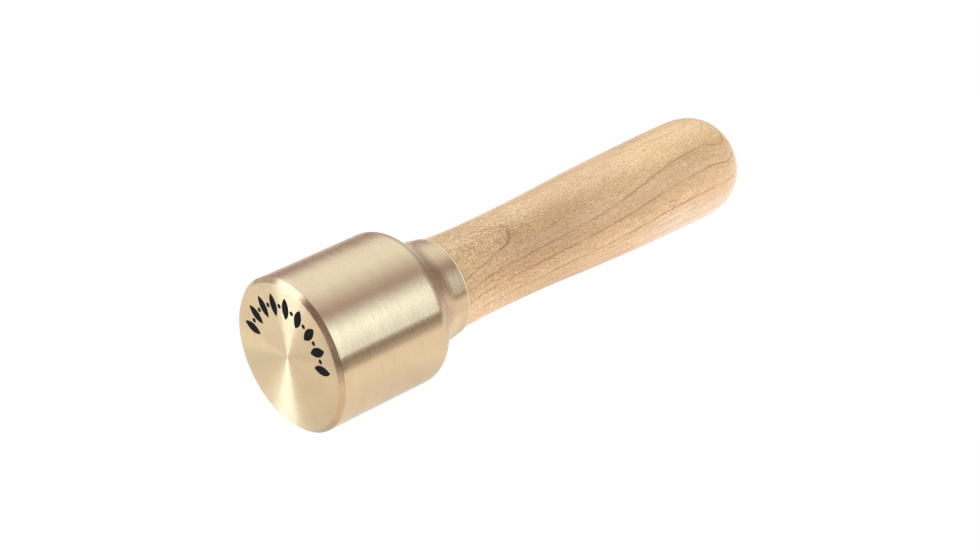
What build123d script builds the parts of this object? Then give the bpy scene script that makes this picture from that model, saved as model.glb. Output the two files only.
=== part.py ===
from build123d import *
import os
from math import radians, tan

os.makedirs("parts", exist_ok=True)

# A carver's mallet: a turned brass head on a turned maple handle, held by a hanger bolt and epoxy.
#
# Every piece but the face inlay is turned about one axis, so each is drawn as half an outline and
# revolved. An outline lies in the XY plane: X is the distance along the mallet from the striking face,
# and Y is the radius. The finished pieces then move to where the mallet lies on its side: the striking
# face looks along -X, the butt along +X, +Z is up, and the origin is on the ground below the middle.
# Sizes are millimetres and angles are degrees.

# Overall size: a head from 2 inch brass bar, and a handle that fills a palm
head_radius = 25.4
overall_length = 191.0

# Brass head
head_length = 60.0
face_chamfer = 1.5
shoulder_start = 40.2
shoulder_radius = 5.7
shoulder_sweep = 55.0
cove_radius = 14.0
neck_taper = 9.0
rim_chamfer = 0.3

# Tenon of the handle in the socket of the head, with the epoxy's thickness between them
tenon_radius = 11.0
tenon_length = 25.0
tenon_chamfer = 1.0
glue_gap = 0.2

# Hanger bolt: 3/8 inch machine thread in the brass, plain shank, and lag thread in the wood
bolt_radius = 4.76
machine_length = 18.0
machine_pitch = 1.5875
machine_root_radius = 3.8
shank_length = 5.5
lag_length = 40.0
lag_pitch = 3.63
lag_root_radius = 3.35
lag_point_length = 6.0
thread_angle = 60.0
thread_crest = 0.2

# Blind holes that run on past the bolt's two tips
tap_drill_radius = 3.97
tap_drill_reach = 4.0
pilot_radius = 1.6
pilot_reach = 6.0
drill_point_angle = 118.0

# Outside of the handle, each station as its distance from the striking face and its radius
wood_step = 0.35
wood_chamfer = 0.2
grip_stations = [(81.0, 15.0), (103.0, 15.5), (124.0, 16.55), (149.0, 17.3)]
widest_station = (174.0, 17.65)
start_slope = 5.0
butt_fullness = 0.72

# Ornament round the upper half of the face: leaf-shaped marks with a dot between each two
leaf_count = 9
leaf_spacing = 20.0
leaf_length = 7.6
leaf_width = 3.2
ornament_radius = 16.9
dot_radius = 0.8
inlay_depth = 0.4

# Where the joint's parts lie along the mallet
socket_radius = tenon_radius + glue_gap
tenon_start = head_length - tenon_length
socket_start = tenon_start - glue_gap
shank_start = socket_start - 1.0
bolt_start = shank_start - machine_length
shank_end = shank_start + shank_length
bolt_end = shank_end + lag_length

# The head's neck: a convex shoulder, a concave cove, then a straight taper to the rim
shoulder = JernArc((shoulder_start, head_radius), (1, 0), shoulder_radius, -shoulder_sweep)
cove = JernArc(shoulder @ 1, shoulder % 1, cove_radius, shoulder_sweep - neck_taper)
taper_start = cove @ 1
taper_length = head_length - rim_chamfer - taper_start.X
rim_radius = taper_start.Y - taper_length * tan(radians(neck_taper))
wood_radius = rim_radius - rim_chamfer - wood_step


def turned(*lines):
    """Revolve a closed half outline about the mallet's axis and move the solid to where it lies."""
    outline = make_face(Curve() + [edge for line in lines for edge in line.edges()])
    return Pos(-overall_length / 2, 0, head_radius) * revolve(outline, Axis.X)


def drilled_hole(start, end, radius):
    """A round hole between two places along the mallet, with a twist drill's cone beyond the first."""
    cone = radius / tan(radians(drill_point_angle / 2))
    corners = [(start - cone, 0), (start, radius), (end, radius), (end, 0)]
    return turned(Polyline(*corners, close=True))


def thread_ridges(start, pitch, end, root_radius):
    """Corners of the thread's ridges from start to end, each ridge a ring one pitch from the last."""
    flank = (bolt_radius - root_radius) * tan(radians(thread_angle / 2))
    width = 2 * flank + thread_crest
    corners = []
    for turn in range(int((end - start - width) / pitch) + 1):
        ridge = start + turn * pitch
        corners += [
            (ridge, root_radius),
            (ridge + flank, bolt_radius),
            (ridge + flank + thread_crest, bolt_radius),
            (ridge + width, root_radius),
        ]
    return corners


def make_hanger_bolt():
    """The steel bolt hidden in the joint. Its threads are rings at their true pitch, not helices."""
    lag_runout = bolt_radius - lag_root_radius
    point_start = bolt_end - lag_point_length
    corners = [(bolt_start, 0)]
    corners += thread_ridges(bolt_start, machine_pitch, shank_start, machine_root_radius)
    corners += [
        (shank_start, machine_root_radius),
        (shank_start, bolt_radius),
        (shank_end, bolt_radius),
        (shank_end + lag_runout, lag_root_radius),
    ]
    corners += thread_ridges(shank_end + lag_pitch, lag_pitch, point_start, lag_root_radius)
    corners += [(point_start, lag_root_radius), (bolt_end, 0)]
    return turned(Polyline(*corners, close=True))


def make_epoxy():
    """The thin cup of epoxy between the tenon and the socket, open where the bolt passes."""
    corners = [
        (socket_start, bolt_radius),
        (socket_start, socket_radius),
        (head_length, socket_radius),
        (head_length, tenon_radius),
        (tenon_start + tenon_chamfer, tenon_radius),
        (tenon_start, tenon_radius - tenon_chamfer),
        (tenon_start, bolt_radius),
    ]
    return turned(Polyline(*corners, close=True))


def leaf_mark():
    """A leaf-shaped mark that stands upright at the middle of the sketch, from two equal arcs."""
    half_length = leaf_length / 2
    half_width = leaf_width / 2
    top = (0, half_length)
    bottom = (0, -half_length)
    left = ThreePointArc(bottom, (-half_width, 0), top)
    right = ThreePointArc(top, (half_width, 0), bottom)
    return make_face(Curve() + [left, right])


def make_face_inlay():
    """The black infill of the ornament, each mark a separate solid flush with the striking face."""
    face_plane = Plane(origin=(-overall_length / 2, 0, head_radius), x_dir=(0, -1, 0), z_dir=(-1, 0, 0))
    marks = []
    for index in range(leaf_count):
        turn = (index - (leaf_count - 1) / 2) * leaf_spacing
        marks.append(Rot(0, 0, turn) * Pos(0, ornament_radius) * leaf_mark())
        if index > 0:
            dot_turn = turn - leaf_spacing / 2
            marks.append(Rot(0, 0, dot_turn) * Pos(0, ornament_radius) * Circle(dot_radius))
    return Compound([extrude(face_plane * mark, amount=-inlay_depth) for mark in marks])


def make_head(bolt, inlay):
    """The brass head: outside turned in one go, with its socket, tapped hole and face recesses."""
    front = Polyline(
        (0, 0),
        (0, head_radius - face_chamfer),
        (face_chamfer, head_radius),
        (shoulder_start, head_radius),
    )
    rear = Polyline(
        taper_start,
        (head_length - rim_chamfer, rim_radius),
        (head_length, rim_radius - rim_chamfer),
        (head_length, 0),
        (0, 0),
    )
    blank = turned(front, shoulder, cove, rear)
    socket = turned(Polyline(
        (socket_start, 0),
        (socket_start, socket_radius),
        (head_length, socket_radius),
        (head_length, 0),
        close=True,
    ))
    tapped_hole = drilled_hole(bolt_start - tap_drill_reach, bolt_start, tap_drill_radius)
    return blank - socket - tapped_hole - bolt - inlay


def make_handle(bolt):
    """The maple handle: a shouldered tenon, a slight waist, a swell for the palm and a bullnose butt."""
    widest, widest_radius = widest_station
    butt_length = overall_length - widest
    tenon = Polyline(
        (tenon_start, 0),
        (tenon_start, tenon_radius - tenon_chamfer),
        (tenon_start + tenon_chamfer, tenon_radius),
        (head_length, tenon_radius),
        (head_length, wood_radius - wood_chamfer),
        (head_length + wood_chamfer, wood_radius),
    )
    grip = Spline(
        tenon @ 1,
        *grip_stations,
        widest_station,
        tangents=[(1, -tan(radians(start_slope))), (1, 0)],
    )
    butt = Bezier(
        widest_station,
        (widest + butt_fullness * butt_length, widest_radius),
        (overall_length, butt_fullness * widest_radius),
        (overall_length, 0),
    )
    axis_line = Line((overall_length, 0), (tenon_start, 0))
    pilot_end = bolt_end + pilot_reach
    pilot_hole = turned(Polyline(
        (shank_end, 0),
        (shank_end, pilot_radius),
        (pilot_end, pilot_radius),
        (pilot_end + pilot_radius / tan(radians(drill_point_angle / 2)), 0),
        close=True,
    ))
    return turned(tenon, grip, butt, axis_line) - bolt - pilot_hole


hanger_bolt = make_hanger_bolt()
face_inlay = make_face_inlay()

nodes = {
    "brass_head": make_head(hanger_bolt, face_inlay),
    "maple_handle": make_handle(hanger_bolt),
    "hanger_bolt": hanger_bolt,
    "socket_epoxy": make_epoxy(),
    "face_inlay": face_inlay,
}
for name, shape in nodes.items():
    export_step(shape, f"parts/{name}.step")
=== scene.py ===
import math

import bmesh
import bpy
import numpy as np
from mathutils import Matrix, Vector


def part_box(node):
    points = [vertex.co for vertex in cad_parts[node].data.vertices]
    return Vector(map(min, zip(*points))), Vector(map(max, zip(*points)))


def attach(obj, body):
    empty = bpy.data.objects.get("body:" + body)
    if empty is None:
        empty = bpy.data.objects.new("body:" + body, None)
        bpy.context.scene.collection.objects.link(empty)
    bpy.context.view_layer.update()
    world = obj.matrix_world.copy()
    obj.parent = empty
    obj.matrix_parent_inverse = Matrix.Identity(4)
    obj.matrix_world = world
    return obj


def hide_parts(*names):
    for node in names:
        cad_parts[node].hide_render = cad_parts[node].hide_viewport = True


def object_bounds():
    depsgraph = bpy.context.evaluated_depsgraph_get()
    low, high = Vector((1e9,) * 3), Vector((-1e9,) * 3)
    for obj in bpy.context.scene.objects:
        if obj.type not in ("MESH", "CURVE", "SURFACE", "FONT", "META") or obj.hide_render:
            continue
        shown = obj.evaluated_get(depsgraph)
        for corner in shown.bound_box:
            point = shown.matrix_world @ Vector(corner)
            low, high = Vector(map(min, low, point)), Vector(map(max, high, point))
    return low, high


# A carver's mallet lying on a white table: satin brass head, maple handle, black ornament on the face.
# The turned pieces are drawn again here as fine meshes, from the sizes that the CAD parts have.
# The mallet's own sizes and places are in millimetres, which MM turns into Blender's metres. Places
# along it are distances from its striking face.
MM = 0.001

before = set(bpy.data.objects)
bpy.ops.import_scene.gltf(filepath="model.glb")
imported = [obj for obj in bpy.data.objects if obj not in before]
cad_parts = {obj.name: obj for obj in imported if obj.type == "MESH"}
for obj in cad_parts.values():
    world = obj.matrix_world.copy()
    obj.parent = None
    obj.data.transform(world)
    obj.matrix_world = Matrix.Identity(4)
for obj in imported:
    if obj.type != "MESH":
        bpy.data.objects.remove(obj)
cad_low, cad_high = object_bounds()
head_low, head_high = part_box("brass_head")
handle_low, handle_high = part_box("maple_handle")
bolt_low, bolt_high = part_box("hanger_bolt")
epoxy_low, epoxy_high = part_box("socket_epoxy")

# Where the mallet lies: its axis runs along X through this point of the striking face
face_centre = Vector((head_low.x, 0, (head_low.z + head_high.z) / 2))


def along(x):
    """Distance from the striking face, in millimetres, of a place x in the frame."""
    return (x - face_centre.x) / MM


# Sizes read from the frame, in millimetres
head_radius = (head_high.z - head_low.z) / 2 / MM
head_length = along(head_high.x)
overall_length = along(handle_high.x)
tenon_start = along(handle_low.x)
bolt_start = along(bolt_low.x)
bolt_end = along(bolt_high.x)
bolt_radius = (bolt_high.z - bolt_low.z) / 2 / MM
socket_start = along(epoxy_low.x)
socket_radius = (epoxy_high.z - epoxy_low.z) / 2 / MM

# Outside of the head. Each corner of its chamfer is broken over edge_break, with its middle set back
# by edge_drop.
face_chamfer = 1.5
shoulder_start = 40.2
shoulder_radius = 5.7
shoulder_sweep = 55.0
cove_radius = 14.0
neck_taper = 9.0
rim_chamfer = 0.3
edge_break = 0.12
edge_drop = 0.036
rim_round = 0.6

# Threads and drilled holes inside
machine_pitch = 1.5875
machine_root_radius = 3.8
shank_inset = 1.0
shank_length = 5.5
lag_pitch = 3.63
lag_root_radius = 3.35
lag_point_length = 6.0
thread_angle = 60.0
thread_crest = 0.2
tap_drill_radius = 3.97
tap_drill_reach = 4.0
pilot_radius = 1.6
pilot_reach = 6.0
drill_point_angle = 118.0

# Outside of the handle, each station as its distance from the striking face and its radius
tenon_radius = 11.0
tenon_chamfer = 1.0
wood_step = 0.35
wood_chamfer = 0.2
grip_stations = [(81.0, 15.0), (103.0, 15.5), (124.0, 16.55), (149.0, 17.3)]
widest_station = (174.0, 17.65)
start_slope = 5.0
butt_fullness = 0.72

# Ornament of leaf marks and dots round the upper half of the face
leaf_count = 9
leaf_spacing = 20.0
leaf_length = 7.6
leaf_width = 3.2
ornament_radius = 16.9
dot_radius = 0.8
inlay_depth = 0.4
inlay_sink = 0.05

# Fineness of the meshes: counts, angles in degrees, and lengths in millimetres
segments = 288
arc_step = 3.0
grip_points = 60
butt_points = 40
leaf_side_points = 16
dot_sides = 32
sharp_angle = 24.0
longest_quad = 2.5
weld_distance = 0.001


# Outlines

def heading(angle):
    """Unit vector at an angle in degrees, in the plane of an outline."""
    return np.array([math.cos(math.radians(angle)), math.sin(math.radians(angle))])


def bend(start, angle, radius, sweep):
    """Points of an arc that leaves start at an angle and turns by sweep degrees, negative clockwise."""
    side = math.copysign(1, sweep)
    centre = np.array(start) + radius * heading(angle + 90 * side)
    count = max(2, math.ceil(abs(sweep) / arc_step))
    return [
        tuple(centre - radius * heading(angle + 90 * side + sweep * step / count))
        for step in range(1, count + 1)
    ]


def thread_ridges(start, pitch, end, root_radius):
    """Corners of thread ridges from start to end, each ridge a ring one pitch from the last."""
    flank = (bolt_radius - root_radius) * math.tan(math.radians(thread_angle / 2))
    width = 2 * flank + thread_crest
    corners = []
    for turn in range(int((end - start - width) / pitch) + 1):
        ridge = start + turn * pitch
        corners += [
            (ridge, root_radius),
            (ridge + flank, bolt_radius),
            (ridge + flank + thread_crest, bolt_radius),
            (ridge + width, root_radius),
        ]
    return corners


def drill_cone(radius):
    """Length of the cone that a twist drill leaves at the end of a hole."""
    return radius / math.tan(math.radians(drill_point_angle / 2))


def smooth_curve(stations, first_slope, last_slope, count):
    """Points of the smooth curve through stations, a cubic spline with a given slope at each end."""
    x, y = np.array(stations).T
    gap = np.diff(x)
    chord = np.diff(y) / gap
    system = np.zeros((len(x), len(x)))
    target = np.zeros(len(x))
    system[0, 0] = system[-1, -1] = 1
    target[0], target[-1] = first_slope, last_slope
    for i in range(1, len(x) - 1):
        system[i, i - 1:i + 2] = gap[i], 2 * (gap[i - 1] + gap[i]), gap[i - 1]
        target[i] = 3 * (gap[i] * chord[i - 1] + gap[i - 1] * chord[i])
    slope = np.linalg.solve(system, target)
    points = []
    for place in np.linspace(x[0], x[-1], count):
        i = min(int(np.searchsorted(x, place, side="right")) - 1, len(gap) - 1)
        t = (place - x[i]) / gap[i]
        height = (
            y[i] * (1 + 2 * t) * (1 - t) ** 2
            + y[i + 1] * (3 - 2 * t) * t ** 2
            + gap[i] * slope[i] * t * (1 - t) ** 2
            - gap[i] * slope[i + 1] * (1 - t) * t ** 2
        )
        points.append((place, height))
    return points


def bezier(a, b, c, d, count):
    """Points of a cubic Bezier curve after its first."""
    a, b, c, d = map(np.array, (a, b, c, d))
    steps = [step / count for step in range(1, count + 1)]
    return [
        tuple((1 - t) ** 3 * a + 3 * t * (1 - t) ** 2 * b + 3 * t ** 2 * (1 - t) * c + t ** 3 * d)
        for t in steps
    ]


shank_start = socket_start - shank_inset
shank_end = shank_start + shank_length
shoulder = bend((shoulder_start, head_radius), 0, shoulder_radius, -shoulder_sweep)
cove = bend(shoulder[-1], -shoulder_sweep, cove_radius, shoulder_sweep - neck_taper)
taper_length = head_length - rim_chamfer - cove[-1][0]
rim_radius = cove[-1][1] - taper_length * math.tan(math.radians(neck_taper))
wood_radius = rim_radius - rim_chamfer - wood_step


def head_outline():
    """The brass head from the middle of its face, over the outside, and back along its bore."""
    rim_back = rim_round * (1 - math.sin(math.radians(neck_taper)))
    rim_rise = (rim_back - rim_chamfer) * math.tan(math.radians(neck_taper))
    rim_start = (head_length - rim_back, rim_radius + rim_rise)
    face_edge = head_radius - face_chamfer
    outside = [
        (0, 0),
        (0, face_edge - edge_break),
        (edge_drop, face_edge),
        (face_chamfer, head_radius - edge_drop),
        (face_chamfer + edge_break, head_radius),
        (shoulder_start, head_radius),
        *shoulder,
        *cove,
        rim_start,
        *bend(rim_start, -neck_taper, rim_round, neck_taper - 90),
    ]
    tap_end = bolt_start - tap_drill_reach
    thread = thread_ridges(bolt_start, machine_pitch, shank_start, machine_root_radius)
    bore = [
        (head_length, socket_radius),
        (socket_start, socket_radius),
        (socket_start, bolt_radius),
        (shank_start, bolt_radius),
        (shank_start, machine_root_radius),
        *reversed(thread),
        (bolt_start, tap_drill_radius),
        (tap_end, tap_drill_radius),
        (tap_end - drill_cone(tap_drill_radius), 0),
    ]
    return outside + bore


def handle_outline():
    """The maple handle from the bottom of its pilot hole, out over the tenon and grip, to the butt."""
    pilot_end = bolt_end + pilot_reach
    point_start = bolt_end - lag_point_length
    runout = bolt_radius - lag_root_radius
    thread = thread_ridges(shank_end + lag_pitch, lag_pitch, point_start, lag_root_radius)
    point_at_pilot = bolt_end - lag_point_length * pilot_radius / lag_root_radius
    bore = [
        (pilot_end + drill_cone(pilot_radius), 0),
        (pilot_end, pilot_radius),
        (point_at_pilot, pilot_radius),
        (point_start, lag_root_radius),
        *reversed(thread),
        (shank_end + runout, lag_root_radius),
        (shank_end, bolt_radius),
        (tenon_start, bolt_radius),
    ]
    tenon = [
        (tenon_start, tenon_radius - tenon_chamfer),
        (tenon_start + tenon_chamfer, tenon_radius),
        (head_length, tenon_radius),
        (head_length, wood_radius - wood_chamfer),
    ]
    stations = [(head_length + wood_chamfer, wood_radius), *grip_stations, widest_station]
    grip = smooth_curve(stations, -math.tan(math.radians(start_slope)), 0, grip_points)
    widest, widest_radius = widest_station
    butt = bezier(
        widest_station,
        (widest + butt_fullness * (overall_length - widest), widest_radius),
        (overall_length, butt_fullness * widest_radius),
        (overall_length, 0),
        butt_points,
    )
    return bore + tenon + grip + butt


# Meshes

def in_frame(distance, radius, angle):
    """The place in the frame of an outline's point turned about the axis, angle from +Z towards -Y."""
    return face_centre + Vector((
        distance * MM,
        -radius * MM * math.sin(angle),
        radius * MM * math.cos(angle),
    ))


def with_short_steps(outline):
    """The outline with its long straight stretches divided, so that the faces stay near square."""
    points = [outline[0]]
    for start, end in zip(outline, outline[1:]):
        count = max(1, math.ceil(math.dist(start, end) / longest_quad))
        for step in range(1, count + 1):
            points.append(tuple(np.array(start) + (np.array(end) - np.array(start)) * step / count))
    return points


def shade(mesh):
    """Shade a mesh smooth between its sharp edges."""
    mesh.shade_smooth()
    mesh.set_sharp_from_angle(angle=math.radians(sharp_angle))


def object_from(name, build):
    """A new object whose bmesh the function build fills, shaded smooth between its sharp edges."""
    mesh = bpy.data.meshes.new(name)
    shape = bmesh.new()
    build(shape)
    bmesh.ops.recalc_face_normals(shape, faces=shape.faces)
    shape.to_mesh(mesh)
    shape.free()
    shade(mesh)
    made = bpy.data.objects.new(name, mesh)
    bpy.context.scene.collection.objects.link(made)
    return made


def turned(name, outline):
    """The closed solid that an outline makes when it turns about the axis."""
    points = with_short_steps(outline)

    def build(shape):
        rings = []
        for distance, radius in points:
            count = segments if radius > 0 else 1
            turn = math.tau / count
            rings.append([shape.verts.new(in_frame(distance, radius, i * turn)) for i in range(count)])
        for ring, after in zip(rings, rings[1:]):
            for i in range(segments):
                corners = []
                for vertex in (
                    ring[i % len(ring)],
                    ring[(i + 1) % len(ring)],
                    after[(i + 1) % len(after)],
                    after[i % len(after)],
                ):
                    if vertex not in corners:
                        corners.append(vertex)
                shape.faces.new(corners)

    return object_from(name, build)


def leaf_points():
    """Outline of one leaf mark, two equal arcs that meet at its tips, in millimetres about its middle."""
    radius = (leaf_length ** 2 + leaf_width ** 2) / (4 * leaf_width)
    half_angle = math.asin(leaf_length / 2 / radius)
    offset = radius - leaf_width / 2
    side = []
    for step in range(leaf_side_points):
        angle = half_angle * (2 * step / leaf_side_points - 1)
        side.append((radius * math.cos(angle) - offset, radius * math.sin(angle)))
    return side + [(-x, -y) for x, y in side]


def dot_points():
    """Outline of one dot, in millimetres about its middle."""
    angles = [math.tau * step / dot_sides for step in range(dot_sides)]
    return [(dot_radius * math.cos(angle), dot_radius * math.sin(angle)) for angle in angles]


def ornament_marks():
    """Outlines of all the marks on the face, each point as (to the viewer's right, up)."""
    marks = []
    for index in range(2 * leaf_count - 1):
        turn = math.radians((index - leaf_count + 1) * leaf_spacing / 2)
        points = dot_points() if index % 2 else leaf_points()
        marks.append([
            (
                x * math.cos(turn) + (y + ornament_radius) * math.sin(turn),
                (y + ornament_radius) * math.cos(turn) - x * math.sin(turn),
            )
            for x, y in points
        ])
    return marks


def prisms(name, start, end):
    """The ornament's marks as upright solids between two distances behind the face."""
    def build(shape):
        for mark in ornament_marks():
            front, back = (
                [shape.verts.new(face_centre + Vector((depth, -x, z)) * MM) for x, z in mark]
                for depth in (start, end)
            )
            shape.faces.new(front)
            shape.faces.new(list(reversed(back)))
            for i in range(len(mark)):
                j = (i + 1) % len(mark)
                shape.faces.new([front[j], front[i], back[i], back[j]])

    return object_from(name, build)


def cut(target, cutter):
    """Cut one object out of another for good, and remove the cutter."""
    modifier = target.modifiers.new("cut", "BOOLEAN")
    modifier.operation = "DIFFERENCE"
    modifier.solver = "EXACT"
    modifier.object = cutter
    graph = bpy.context.evaluated_depsgraph_get()
    mesh = bpy.data.meshes.new_from_object(target.evaluated_get(graph))
    target.modifiers.clear()
    shape = bmesh.new()
    shape.from_mesh(mesh)
    bmesh.ops.remove_doubles(shape, verts=shape.verts, dist=weld_distance * MM)
    many_sided = [face for face in shape.faces if len(face.verts) > 4]
    bmesh.ops.triangulate(shape, faces=many_sided, ngon_method="BEAUTY")
    shape.to_mesh(mesh)
    shape.free()
    shade(mesh)
    target.data = mesh
    bpy.data.objects.remove(cutter)


# Node trees

class Nodes:
    """Builds one node tree. A value is a number, a tuple or another node's output socket."""

    def __init__(self, tree):
        self.tree = tree
        tree.nodes.clear()

    def put(self, socket, value):
        """Link a socket to a value, or set the socket where the value is plain."""
        if isinstance(value, bpy.types.NodeSocket):
            self.tree.links.new(value, socket)
        else:
            socket.default_value = value

    def fill(self, node, **inputs):
        """Put values on a node's inputs, whose names are written with _ for each space."""
        for name, value in inputs.items():
            self.put(node.inputs[name.replace("_", " ")], value)

    def add(self, kind, settings=None, **inputs):
        made = self.tree.nodes.new(kind)
        for name, value in (settings or {}).items():
            setattr(made, name, value)
        self.fill(made, **inputs)
        return made

    def math(self, operation, *values):
        made = self.add("ShaderNodeMath", {"operation": operation})
        for socket, value in zip(made.inputs, values):
            self.put(socket, value)
        return made.outputs[0]

    def vector_math(self, operation, *values):
        """The vector that an operation gives, or the number that a length or a distance gives."""
        made = self.add("ShaderNodeVectorMath", {"operation": operation})
        for socket, value in zip(made.inputs, values):
            self.put(socket, value)
        return made.outputs["Value" if operation in ("LENGTH", "DISTANCE") else "Vector"]

    def chain(self, operation, values):
        """One operation applied to all the values, from the first to the last."""
        result = values[0]
        for value in values[1:]:
            result = self.math(operation, result, value)
        return result

    def total(self, *values):
        return self.chain("ADD", values)

    def product(self, *values):
        return self.chain("MULTIPLY", values)

    def largest(self, *values):
        return self.chain("MAXIMUM", values)

    def absolute(self, value):
        return self.math("ABSOLUTE", value)

    def weighted(self, *pairs):
        """The total of some values, each times its weight."""
        return self.total(*(self.product(value, weight) for value, weight in pairs))

    def hypotenuse(self, a, b):
        return self.math("SQRT", self.total(self.product(a, a), self.product(b, b)))

    def degrees(self, opposite, adjacent):
        """The angle, in degrees, that two sides of a right angle give."""
        return self.product(self.math("ARCTAN2", opposite, adjacent), 180 / math.pi)

    def step(self, value, low, high, at_low=0.0, at_high=1.0):
        """A smooth step from at_low to at_high while value goes from low to high."""
        made = self.add(
            "ShaderNodeMapRange", {"interpolation_type": "SMOOTHSTEP"},
            Value=value, From_Min=low, From_Max=high, To_Min=at_low, To_Max=at_high,
        )
        return made.outputs[0]

    def fall(self, value, low, high):
        """A smooth step from 1 down to 0 while value goes from low to high."""
        return self.step(value, low, high, 1.0, 0.0)

    def band(self, value, start, full, fade, end):
        """1 while value is between full and fade, and 0 before start and after end."""
        return self.product(self.step(value, start, full), self.fall(value, fade, end))

    def local_factor(self, change, *masks):
        """A factor of 1 that differs by change where all the masks are 1."""
        return self.total(1.0, self.product(*masks, change))

    def vector(self, x, y, z):
        return self.add("ShaderNodeCombineXYZ", X=x, Y=y, Z=z).outputs[0]

    def split(self, vector):
        return self.add("ShaderNodeSeparateXYZ", Vector=vector).outputs

    def noise(self, vector, scale, detail, roughness):
        """Noise with its own scale in each of the vector's three directions."""
        scaled = self.vector_math("MULTIPLY", vector, scale)
        made = self.add(
            "ShaderNodeTexNoise", Vector=scaled, Scale=1.0, Detail=detail, Roughness=roughness
        )
        return made.outputs[0]

    def mix(self, factor, a, b, blend="MIX"):
        """Two colours mixed. Inputs 6 and 7 and output 2 are a mix node's sockets for colours."""
        made = self.add("ShaderNodeMix", {"data_type": "RGBA", "blend_type": blend})
        for socket, value in ((made.inputs[0], factor), (made.inputs[6], a), (made.inputs[7], b)):
            self.put(socket, value)
        return made.outputs[2]

    def tint(self, base, *masked_tints):
        """The base colour multiplied by each tint, as far as the mask beside it says."""
        for mask, tint in masked_tints:
            base = self.mix(mask, base, tint, "MULTIPLY")
        return base

    def bump(self, height, strength, distance):
        """A normal that follows a height, with the distance in millimetres."""
        made = self.add("ShaderNodeBump", Strength=strength, Distance=distance * MM, Height=height)
        return made.outputs[0]


def colour(red, green, blue):
    return (red, green, blue, 1.0)


white = colour(1.0, 1.0, 1.0)


def empty_material(name):
    """A new material and its node builder."""
    material = bpy.data.materials.new(name)
    material.use_nodes = True
    return material, Nodes(material.node_tree)


def new_material(name):
    """A new material, its node builder and its shader."""
    material, nodes = empty_material(name)
    shader = nodes.add("ShaderNodeBsdfPrincipled")
    nodes.add("ShaderNodeOutputMaterial", Surface=shader.outputs[0])
    return material, nodes, shader


def object_place(nodes):
    return nodes.add("ShaderNodeTexCoord").outputs["Object"]


def place_on_mallet(nodes):
    """Distance from the face, to the front of the axis, and up from the axis, in millimetres."""
    moved = nodes.vector_math("SUBTRACT", object_place(nodes), face_centre)
    return nodes.split(nodes.vector_math("MULTIPLY", moved, (1 / MM, -1 / MM, 1 / MM)))


# Materials. Places are in millimetres, and the scale of the noise on the mallet is per millimetre. A
# band is given by where it starts, is full, fades and ends.

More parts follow.
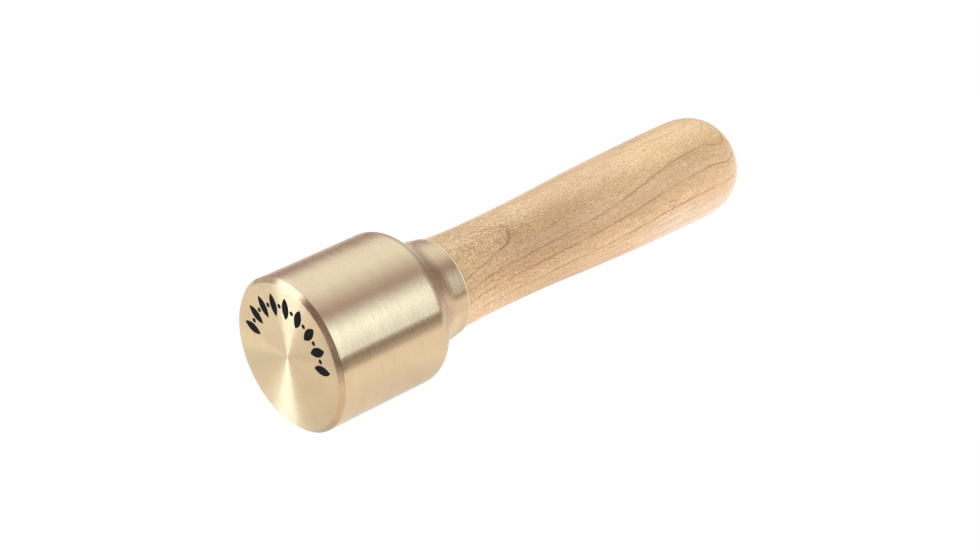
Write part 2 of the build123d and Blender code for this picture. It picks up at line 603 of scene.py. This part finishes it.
def satin_brass():
    """Brass turned in a lathe and brushed: rings and streaks run round it, so gloss spreads across."""
    material, nodes, shader = new_material("satin_brass")
    distance, front, up = place_on_mallet(nodes)
    radius = nodes.hypotenuse(front, up)

    # Tool marks. They follow a measure that grows along the mallet and towards its axis, so they run on
    # from the face over the chamfer to the barrel and the neck.
    across = nodes.weighted((distance, 1.37), (radius, -1.0))
    place = nodes.vector(across, front, up)
    rings = nodes.noise(place, (1.8, 0.0, 0.0), 3.0, 0.7)
    streaks = nodes.noise(place, (1.8, 0.14, 0.14), 3.0, 0.65)
    clouds = nodes.noise(place, (0.15, 0.08, 0.08), 2.0, 0.5)
    grain = nodes.weighted((rings, 0.45), (streaks, 0.55))
    pale = nodes.step(nodes.weighted((grain, 0.8), (clouds, 0.2)), 0.3, 0.7)
    base = nodes.mix(pale, colour(0.66, 0.475, 0.285), colour(0.79, 0.595, 0.375))

    # Parts of the head that differ as a whole. Their tints below are painted reflections: brighter and
    # cooler on the face, painted shade on the chamfer and the neck, and a bluer painted reflection in the
    # hollow.
    face = nodes.fall(distance, 0.0, 0.3)
    chamfer = nodes.band(distance, 0.0, 0.2, face_chamfer, face_chamfer + 0.2)
    hollow = nodes.band(distance, 42, 45, 48, 52)
    neck = nodes.step(distance, 42, 45)
    round_start = head_length - rim_round
    rim = nodes.step(distance, round_start - 0.3, round_start)

    # Stretches round the face, the chamfer and the neck with painted reflections: painted shade where
    # they are duller and painted highlights where they are brighter. Forward and upward say where a place
    # lies round the axis: how much of its radius goes each way, from -1 to 1.
    forward = nodes.math("DIVIDE", front, radius)
    upward = nodes.math("DIVIDE", up, radius)
    upper = nodes.step(upward, 0.0, 0.2)
    face_rear_shade = nodes.product(face, nodes.fall(forward, -0.5, -0.3), nodes.step(upward, -0.1, 0.2))
    face_front_shade = nodes.product(
        face, nodes.step(forward, 0.3, 0.6), nodes.step(upward, 0.1, 0.5, 1.0, 0.4)
    )
    face_bottom_highlight = nodes.product(face, nodes.fall(upward, -0.9, -0.75), nodes.fall(forward, 0.0, 0.2))
    edge_top_rear_highlight = nodes.product(chamfer, upper, nodes.band(forward, -0.62, -0.5, -0.34, -0.2))
    edge_top_front_shade = nodes.product(chamfer, upper, nodes.band(forward, 0.25, 0.4, 0.55, 0.7))
    edge_front_shade = nodes.product(
        chamfer, nodes.band(upward, 0.02, 0.14, 0.2, 0.3), nodes.step(forward, 0.0, 0.2)
    )
    edge_low_front_shade = nodes.product(
        chamfer, nodes.fall(upward, -0.6, -0.5), nodes.step(forward, 0.35, 0.5)
    )
    neck_front_highlight = nodes.product(
        nodes.step(distance, 45, 49),
        nodes.step(distance, 53, 58, 1.0, 0.3),
        nodes.fall(distance, round_start - 0.6, round_start - 0.3),
        nodes.band(up, -9, -6, -2, 1),
        nodes.step(front, 0, 5),
    )
    # Each tint paints a reflection on the brass: below 1 is painted shade, above 1 is a painted
    # highlight.
    base = nodes.tint(
        base,
        (chamfer, colour(0.84, 0.77, 0.74)),
        (hollow, colour(1.0, 1.0, 1.14)),
        (neck, colour(0.98, 0.94, 0.93)),
        (face, colour(1.09, 1.18, 1.21)),
        (face_rear_shade, colour(0.94, 0.91, 0.89)),
        (face_front_shade, colour(0.885, 0.835, 0.81)),
        (face_bottom_highlight, colour(1.06, 1.09, 1.12)),
        (edge_top_rear_highlight, colour(1.3, 1.55, 1.55)),
        (edge_top_front_shade, colour(0.76, 0.70, 0.72)),
        (edge_front_shade, colour(0.76, 0.79, 0.82)),
        (edge_low_front_shade, colour(0.81, 0.85, 0.86)),
        (neck_front_highlight, colour(1.17, 1.22, 1.18)),
    )

    # The rim has a painted highlight: a pale, less metallic band that looks bright from all round
    base = nodes.mix(rim, base, colour(1.0, 0.80, 0.52))
    tangent = nodes.add("ShaderNodeTangent", {"direction_type": "RADIAL", "axis": "X"})
    nodes.fill(
        shader,
        Base_Color=base,
        Metallic=nodes.local_factor(-0.85, rim),
        Roughness=nodes.total(
            nodes.step(grain, 0.35, 0.65, 0.20, 0.30), nodes.product(face, 0.14), nodes.product(rim, 0.3)
        ),
        Anisotropic=1.0,
        Anisotropic_Rotation=0.25,
        Tangent=tangent.outputs[0],
        Normal=nodes.bump(grain, 0.45, 0.09),
    )
    return material


# Growth rings of the handle's wood: circles about a pith line that runs below the axis and a little
# behind it. They tilt and waver along the handle. A ring's number is about its height above the axis,
# in millimetres, where distances start.
ring_turn = math.radians(20.66)
pith_depth = 12.0
ring_tilt = 0.0339
side_drift = 0.011
side_middle = 120.0
wave_start = 124.2
wave_length = 125.4
wave_height = 0.693
wobble_height = 0.15
butt_rise = 2.4

# The rings that show as lines, each with its strength: first the clear ones, then the faint ones
growth_lines = [
    (11.07, 0.85), (9.49, 0.8), (6.78, 1.0), (4.55, 0.5), (2.0, 0.8),
    (-1.4, 0.9), (-4.6, 0.7), (-7.2, 0.9), (-10.4, 0.8),
    (12.2, 0.2), (11.6, 0.25), (10.3, 0.2), (8.2, 0.25), (5.7, 0.25),
]

# The blunt arch near the head and the small curl near the butt
arch_turn = math.radians(28.0)
arch_tip = 84.6
arch_slope = 5.0
arch_half_width = 3.2
curl_squash = 0.6
curl_centre = (151.0 * curl_squash, 17.0, 3.0)
curl_radius = 0.95


def ring_measures(nodes, distance, front, up):
    """A place's height in the rings, its distance to their side, and the ring that it lies on."""
    height = nodes.weighted((up, math.cos(ring_turn)), (front, math.sin(ring_turn)))
    side = nodes.total(
        nodes.weighted((front, math.cos(ring_turn)), (up, -math.sin(ring_turn)), (distance, -side_drift)),
        side_drift * side_middle,
    )
    wave = nodes.math("SINE", nodes.product(nodes.total(distance, -wave_start), math.tau / wave_length))
    wobble = nodes.noise(nodes.vector(distance, front, up), (0.06, 0.12, 0.12), 2.0, 0.5)
    at_butt = nodes.product(nodes.step(distance, 172, 192), nodes.step(height, 5, 11))
    ring = nodes.total(
        nodes.hypotenuse(nodes.total(height, pith_depth), side),
        -pith_depth,
        nodes.product(distance, -ring_tilt),
        nodes.product(wave, -wave_height),
        nodes.product(nodes.total(wobble, -0.5), wobble_height),
        nodes.product(at_butt, butt_rise),
    )
    return height, side, ring


def ring_lines(nodes, distance, side, ring):
    """Dark lines where each year's growth ends, with the year's late wood as a faint shade beside.

    Rate is about how much a ring's number changes over a millimetre of the surface. Divided by it, a
    step in number becomes one in millimetres, so the lines are as fine where the rings lie flat.
    """
    rate = nodes.largest(
        nodes.product(nodes.absolute(side), 0.028), 0.1, nodes.step(distance, 176, 190, 0.0, 0.6)
    )
    lines = 0.0
    for level, strength in growth_lines:
        beyond = nodes.math("DIVIDE", nodes.total(ring, -level), rate)
        line = nodes.step(nodes.absolute(beyond), 0.05, 0.5, strength, 0.0)
        late = nodes.product(
            nodes.step(beyond, -2.6, 0.0, 0.0, 0.14 * strength), nodes.fall(beyond, 0.0, 0.3)
        )
        lines = nodes.largest(lines, line, late)
    return lines


def arch_line(nodes, distance, front, up, height):
    """One ring that comes to the surface as a blunt arch near the head, pointing at the butt.

    The line crosses the arch's middle on a slant, and on each side of its tip it turns back towards the
    head, arch_slope millimetres for each millimetre further out. Off is the distance from the line.
    """
    beside = nodes.weighted((front, math.cos(arch_turn)), (up, -math.sin(arch_turn)))
    from_tip = nodes.total(distance, -arch_tip, nodes.product(beside, 0.5))
    beside = nodes.absolute(nodes.total(beside, nodes.product(from_tip, 0.03)))
    setback = nodes.math("SMOOTH_MAX", nodes.total(beside, -arch_half_width), 0.0, 2.5)
    steepness = nodes.step(beside, 2.2, 4.4, 0.0, arch_slope)
    off = nodes.math(
        "DIVIDE",
        nodes.total(from_tip, nodes.product(setback, arch_slope)),
        nodes.hypotenuse(steepness, 1.0),
    )
    breadth = nodes.step(beside, 2.0, 5.0, 1.6, 0.5)
    arch = nodes.step(nodes.absolute(off), 0.0, breadth, 0.9, 0.0)
    return nodes.product(arch, nodes.step(height, 5.0, 8.0))


def curl_line(nodes, distance, front, up):
    """A small curl in the figure, an oval ring on the front side near the butt."""
    place = nodes.vector(nodes.product(distance, curl_squash), front, up)
    off = nodes.total(nodes.vector_math("DISTANCE", place, curl_centre), -curl_radius)
    return nodes.step(nodes.absolute(off), 0.0, 0.45, 0.5, 0.0)


def maple():
    """Plain-sawn maple: pale wood, thin growth rings on a slant, fine flecks and a satin finish."""
    material, nodes, shader = new_material("maple")
    distance, front, up = place_on_mallet(nodes)
    place = nodes.vector(distance, front, up)
    height, side, ring = ring_measures(nodes, distance, front, up)

    # Lines of the figure, fainter in places
    broken = nodes.noise(place, (0.12, 0.5, 0.5), 2.0, 0.6)
    lines = nodes.product(
        nodes.largest(
            ring_lines(nodes, distance, side, ring), arch_line(nodes, distance, front, up, height)
        ),
        nodes.step(broken, 0.30, 0.62, 0.35, 1.0),
        nodes.step(side, -6.0, 1.0, 0.5, 1.0),
    )
    lines = nodes.largest(lines, curl_line(nodes, distance, front, up))

    # Flecks and fibres along the grain, and soft broad clouds. Spread is how softly dark and pale meet,
    # and the flecks stand out more towards the head and the top.
    fibres = nodes.noise(place, (0.25, 2.6, 2.6), 3.0, 0.6)
    flecks = nodes.noise(place, (1.7, 2.4, 2.4), 2.0, 0.7)
    clouds = nodes.noise(place, (0.035, 0.09, 0.09), 2.0, 0.5)
    tone = nodes.weighted((fibres, 0.26), (flecks, 0.58), (clouds, 0.16))
    spread = nodes.total(
        nodes.step(distance, 80, 130, 0.045, 0.105),
        nodes.step(side, 3, 10, 0.0, 0.02),
        nodes.step(distance, 150, 175, 0.0, 0.03),
    )
    pale = nodes.step(tone, nodes.math("SUBTRACT", 0.5, spread), nodes.total(spread, 0.5))
    bold = nodes.product(nodes.fall(distance, 80, 110), nodes.fall(side, -2, 10))
    dark_fleck = nodes.mix(bold, colour(0.615, 0.335, 0.146), colour(0.57, 0.30, 0.123))
    pale_fleck = nodes.mix(bold, colour(0.95, 0.617, 0.325), colour(0.99, 0.67, 0.36))
    wood = nodes.mix(pale, dark_fleck, pale_fleck)
    wood = nodes.mix(nodes.product(lines, 0.88), wood, colour(0.42, 0.18, 0.06))

    # Broad differences: a darker patch towards the head, partly a blotch in the wood and partly painted
    # shade on its front side; a painted highlight on the top near the butt, and paler towards the butt's
    # end; painted bounce light low near the head; and a painted cool sheen low near the butt and on the
    # front of the butt
    low = nodes.fall(up, -5, 2)
    patch = nodes.product(
        nodes.step(distance, 74, 88, 0.35, 1.0),
        nodes.fall(distance, 100, 128),
        nodes.step(side, -6, 4),
        nodes.step(side, 12.5, 15.5, 1.0, 0.5),
        nodes.step(clouds, 0.35, 0.6, 0.6, 1.0),
    )
    # A painted highlight on the top near the butt, joined below with the paler butt end
    top = nodes.product(nodes.step(distance, 134, 150), nodes.band(side, -11, -8, 1, 5))
    butt = nodes.largest(top, nodes.step(distance, 180, 189))
    low_bounce_near_head = nodes.product(low, nodes.fall(distance, 84, 96))
    low_sheen_near_butt = nodes.product(low, nodes.step(distance, 125, 155))
    front_sheen_at_butt = nodes.product(nodes.step(distance, 174, 184), nodes.step(side, 4, 8))
    wood = nodes.tint(
        wood,
        (patch, colour(0.78, 0.72, 0.65)),
        (butt, colour(1.16, 1.18, 1.18)),
        (low_bounce_near_head, colour(1.05, 1.05, 1.04)),
        (low_sheen_near_butt, colour(0.97, 1.04, 1.26)),
        (front_sheen_at_butt, colour(0.98, 1.04, 1.2)),
    )

    # A dark line where the wood meets the brass: partly a dark joint, partly painted shade under the step
    # up to the brass rim
    joint = nodes.step(distance, head_length + 0.2, head_length + 0.8, 0.7, 0.0)
    nodes.fill(
        shader,
        Base_Color=nodes.mix(joint, wood, colour(0.30, 0.16, 0.07)),
        Roughness=nodes.step(flecks, 0.3, 0.7, 0.42, 0.52),
        Coat_Weight=0.3,
        Coat_Roughness=0.28,
        Normal=nodes.bump(fibres, 0.1, 0.05),
    )
    return material


def patchy_material(name, fineness, colours, roughness):
    """A material, its nodes, its shader and the small patches that its colour and roughness follow.

    The fineness is the scale of the patches per metre.
    """
    material, nodes, shader = new_material(name)
    patches = nodes.noise(object_place(nodes), (fineness, fineness, fineness), 3.0, 0.6)
    nodes.fill(
        shader,
        Base_Color=nodes.mix(patches, *colours),
        Roughness=nodes.step(patches, 0.3, 0.7, *roughness),
    )
    return material, nodes, shader, patches


def black_enamel():
    """Enamel that fills the ornament, with the slight unevenness of a hand-wiped fill."""
    colours = (colour(0.003, 0.003, 0.003), colour(0.012, 0.011, 0.010))
    material, nodes, shader, patches = patchy_material("black_enamel", 900.0, colours, (0.45, 0.6))
    nodes.fill(shader, Specular_IOR_Level=0.03, Normal=nodes.bump(patches, 0.2, 0.02))
    return material


def plated_steel():
    """Zinc-plated steel of the bolt inside the joint."""
    colours = (colour(0.50, 0.51, 0.52), colour(0.66, 0.66, 0.65))
    material, nodes, shader, _ = patchy_material("plated_steel", 400.0, colours, (0.28, 0.42))
    nodes.fill(shader, Metallic=1.0)
    return material


def amber_epoxy():
    """Cured epoxy in the joint, amber with small clouds."""
    colours = (colour(0.62, 0.42, 0.16), colour(0.78, 0.60, 0.30))
    return patchy_material("amber_epoxy", 500.0, colours, (0.2, 0.35))[0]


# Surroundings. The table glows with one strength under the mallet and another round it, and keeps
# only a share of that far in front. Its places are in metres.
under_strength = 0.72
table_strength = 1.10
front_share = 0.30


def light_the_studio():
    """White studio as light from all round: two long softboxes, a side light, a wall and dim horizons.

    A direction has parts x, y and z from -1 to 1. Its turn is the angle round the mallet's axis from
    straight up, positive to the front, and its rise the angle from the horizon before the face.
    """
    world = bpy.data.worlds.new("studio")
    world.use_nodes = True
    bpy.context.scene.world = world
    nodes = Nodes(world.node_tree)
    x, y, z = nodes.split(nodes.add("ShaderNodeTexCoord").outputs["Generated"])
    turn = nodes.degrees(nodes.product(y, -1.0), z)
    rise = nodes.degrees(z, nodes.product(x, -1.0))

    rear_box = nodes.product(
        nodes.band(turn, -78, -50, -26, 34), nodes.band(x, -0.18, 0.0, 0.80, 0.98)
    )
    front_box = nodes.product(
        nodes.band(turn, 18, 54, 82, 84.5),
        nodes.band(x, -0.06, 0.12, 0.56, 0.74),
        nodes.step(turn, 54, 80, 1.0, 0.68),
    )
    side_light = nodes.product(nodes.band(rise, 6, 16, 36, 52), nodes.band(y, 0.25, 0.45, 0.74, 0.92))
    lean = nodes.weighted((z, 1.0), (y, -0.8))
    wall = nodes.product(nodes.fall(x, -0.95, -0.84), nodes.fall(lean, 0.14, 0.32))
    horizons = nodes.total(
        nodes.product(nodes.step(x, -0.3, 0.2, 0.20, 0.50), nodes.step(x, 0.74, 0.95, 1.0, 0.5)),
        nodes.product(nodes.step(x, -0.1, 0.1, 0.35, 0.0), nodes.step(y, 0.85, 0.95)),
    )

    # Each light has a strength, and a tint where it is reflected. Diffuse light has one even tint.
    reflected = (0.0, 0.0, 0.0)
    plain = 0.0
    for shape, strength, tint in (
        (horizons, 1.0, (1.0, 0.82, 0.88)),
        (rear_box, 0.68, (1.0, 1.35, 1.50)),
        (front_box, 1.5, (1.0, 1.46, 1.74)),
        (side_light, 4.8, (1.0, 1.24, 1.5)),
        (wall, 2.0, (1.0, 1.0, 1.0)),
    ):
        light = nodes.product(shape, strength)
        reflected = nodes.vector_math("ADD", reflected, nodes.vector_math("MULTIPLY", light, tint))
        plain = nodes.total(plain, light)
    diffuse = nodes.vector_math("MULTIPLY", plain, (1.32, 1.40, 1.40))
    ray = nodes.add("ShaderNodeLightPath").outputs
    seen = nodes.mix(ray["Is Diffuse Ray"], reflected, diffuse)
    seen = nodes.mix(ray["Is Camera Ray"], seen, white)
    background = nodes.add("ShaderNodeBackground", Color=seen)
    nodes.add("ShaderNodeOutputWorld", Surface=background.outputs[0])


def white_table():
    """A white that glows, so that the table looks as blank as the backdrop behind it.

    As light for the mallet it is stronger in some places than in others.
    """
    material, nodes = empty_material("white_table")
    position = object_place(nodes)
    x, y, _ = nodes.split(position)
    from_mallet = nodes.vector_math("LENGTH", nodes.vector_math("MULTIPLY", position, (0.5, 1.0, 0.0)))
    # The weaker glow under the mallet is the mallet's painted shadow on the table, as reflections and
    # diffuse light see it
    middle = nodes.step(from_mallet, 0.0, 0.07, under_strength, table_strength)
    front = nodes.step(y, -0.215, -0.115, front_share, 1.0)
    back = nodes.step(y, 0.18, 0.32, 1.0, 0.55)
    butt_end = nodes.step(x, 0.18, 0.32, 1.0, 0.45)
    before_face = nodes.step(x, -0.16, -0.10, 1.12, 1.0)
    beside_handle = nodes.step(x, 0.0, 0.12, 1.0, 1.2)
    front_corner = nodes.local_factor(-0.7, nodes.fall(x, -0.24, -0.12), nodes.fall(y, -0.10, -0.03))
    beside_neck = nodes.local_factor(
        0.22, nodes.band(x, -0.055, -0.035, -0.01, 0.02), nodes.step(y, -0.055, -0.035)
    )
    # A painted shadow in a strip just behind the mallet, which dims the table's glow there
    shadow_strip_behind = nodes.local_factor(
        -0.3, nodes.band(y, 0.0, 0.03, 0.05, 0.09), nodes.step(x, -0.08, -0.05)
    )
    ray = nodes.add("ShaderNodeLightPath").outputs
    diffuse = nodes.local_factor(1.0, ray["Is Diffuse Ray"], nodes.step(x, -0.02, 0.06, 0.34, 0.42))
    level = nodes.product(
        middle, front, back, butt_end, before_face, beside_handle,
        front_corner, beside_neck, shadow_strip_behind, diffuse,
    )
    tint = nodes.mix(ray["Is Diffuse Ray"], white, colour(0.97, 1.02, 1.12))
    strength = nodes.largest(ray["Is Camera Ray"], level)
    glow = nodes.add("ShaderNodeEmission", Color=tint, Strength=strength)
    nodes.add("ShaderNodeOutputMaterial", Surface=glow.outputs[0])
    return material


def lay_the_floor():
    """A large white table under the mallet."""
    def build(shape):
        reach = 3.0
        corners = [(-reach, -reach, 0), (reach, -reach, 0), (reach, reach, 0), (-reach, reach, 0)]
        shape.faces.new([shape.verts.new(corner) for corner in corners])

    floor = object_from("floor", build)
    floor.data.materials.append(white_table())


# Camera: a long lens, turned and raised as seen from the middle of the mallet
camera_azimuth = -42.83
camera_elevation = 30.88
camera_distance = 0.7406
camera_lens = 84.64
camera_sensor = 36.0
camera_aim = Vector((-0.0149, -0.0024, -0.0029))


def place_camera():
    """The scene's camera, which looks at a point near the middle of the mallet."""
    centre = (cad_low + cad_high) / 2
    azimuth = math.radians(camera_azimuth)
    elevation = math.radians(camera_elevation)
    back = Vector((
        math.sin(azimuth) * math.cos(elevation),
        -math.cos(azimuth) * math.cos(elevation),
        math.sin(elevation),
    ))
    data = bpy.data.cameras.new("camera")
    data.sensor_width = camera_sensor
    data.lens = camera_lens
    camera = bpy.data.objects.new("camera", data)
    camera.location = centre + camera_aim + back * camera_distance
    camera.rotation_euler = (-back).to_track_quat("-Z", "Y").to_euler()
    bpy.context.scene.collection.objects.link(camera)
    bpy.context.scene.camera = camera


# The mallet

def put_on(piece, material, node):
    """Give a new piece its material, hang it from the root, and hide the CAD node that it stands for."""
    piece.data.materials.clear()
    piece.data.materials.append(material)
    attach(piece, "root")
    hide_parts(node)


def paint(node, material):
    """Give a CAD node that stays its material."""
    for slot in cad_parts[node].material_slots:
        slot.link = "OBJECT"
        slot.material = material


head = turned("satin_brass_head", head_outline())
cut(head, prisms("cutter", -inlay_depth, inlay_depth))
put_on(head, satin_brass(), "brass_head")
put_on(turned("maple_handle_turned", handle_outline()), maple(), "maple_handle")
put_on(prisms("enamel_inlay", inlay_sink, inlay_depth), black_enamel(), "face_inlay")
paint("hanger_bolt", plated_steel())
paint("socket_epoxy", amber_epoxy())

light_the_studio()
lay_the_floor()
place_camera()
bpy.context.scene.view_settings.view_transform = "Standard"
